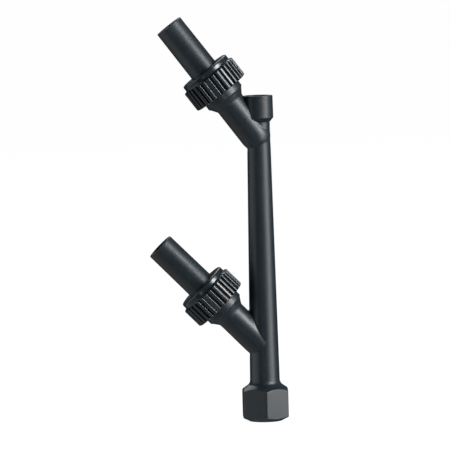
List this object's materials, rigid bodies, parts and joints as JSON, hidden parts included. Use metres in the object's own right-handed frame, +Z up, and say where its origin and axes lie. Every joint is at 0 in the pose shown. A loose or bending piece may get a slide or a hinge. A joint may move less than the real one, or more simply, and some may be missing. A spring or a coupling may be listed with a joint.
{
  "type": "hose splitter",
  "caption": "Slim tapered riser with a female hex inlet at its foot, an open port at its head and slanted outlets that end in ribbed union nuts and plain hose tails.",
  "frame": {"origin": "centre of the hex inlet's bottom face, on the riser's axis", "axes": "+Z up the riser, from the inlet to the port; the outlets lean toward -X in the XZ plane; +Y is across the part"},
  "size_m": [0.0937, 0.042, 0.2844],
  "materials": {
    "manifold_plastic": "black injection-moulded plastic with a soft satin sheen and a fine grain",
    "nut_plastic": "black injection-moulded plastic, satin, a little shinier on the rib crests",
    "tail_plastic": "black injection-moulded plastic, matt along the spigot",
    "seal_rubber": "black rubber O-ring cord, smooth and slightly waxy",
    "washer_rubber": "black flat rubber washer, dull"
  },
  "bodies": {
    "manifold": {"manifold": "manifold_plastic", "inlet_washer": "washer_rubber"},
    "lower_seal": {"lower_o_ring": "seal_rubber"},
    "lower_tail": {"lower_tail": "tail_plastic"},
    "lower_nut": {"lower_nut": "nut_plastic"},
    "upper_seal": {"upper_o_ring": "seal_rubber"},
    "upper_tail": {"upper_tail": "tail_plastic"},
    "upper_nut": {"upper_nut": "nut_plastic"}
  },
  "joints": [
    {"name": "lower_union_travel", "type": "slide", "parent": "manifold", "child": "lower_seal", "axis": [-0.6997, 0, 0.7145], "range_m": [0, 0.0104]},
    {"name": "lower_tail_swivel", "type": "hinge", "parent": "lower_seal", "child": "lower_tail", "pos_m": [-0.03498, 0, 0.08792], "axis": [-0.6997, 0, 0.7145], "continuous": true},
    {"name": "lower_nut_turn", "type": "hinge", "parent": "lower_seal", "child": "lower_nut", "pos_m": [-0.03498, 0, 0.08792], "axis": [-0.6997, 0, 0.7145], "range_deg": [0, 1620]},
    {"name": "upper_union_travel", "type": "slide", "parent": "manifold", "child": "upper_seal", "axis": [-0.599, 0, 0.8007], "range_m": [0, 0.0104]},
    {"name": "upper_tail_swivel", "type": "hinge", "parent": "upper_seal", "child": "upper_tail", "pos_m": [-0.02995, 0, 0.23734], "axis": [-0.599, 0, 0.8007], "continuous": true},
    {"name": "upper_nut_turn", "type": "hinge", "parent": "upper_seal", "child": "upper_nut", "pos_m": [-0.02995, 0, 0.23734], "axis": [-0.599, 0, 0.8007], "range_deg": [0, 1620]}
  ],
  "couplings": [
    {"joint": "lower_union_travel", "follows": "lower_nut_turn", "m_per_rad": 0.00036749},
    {"joint": "upper_union_travel", "follows": "upper_nut_turn", "m_per_rad": 0.00036749}
  ]
}
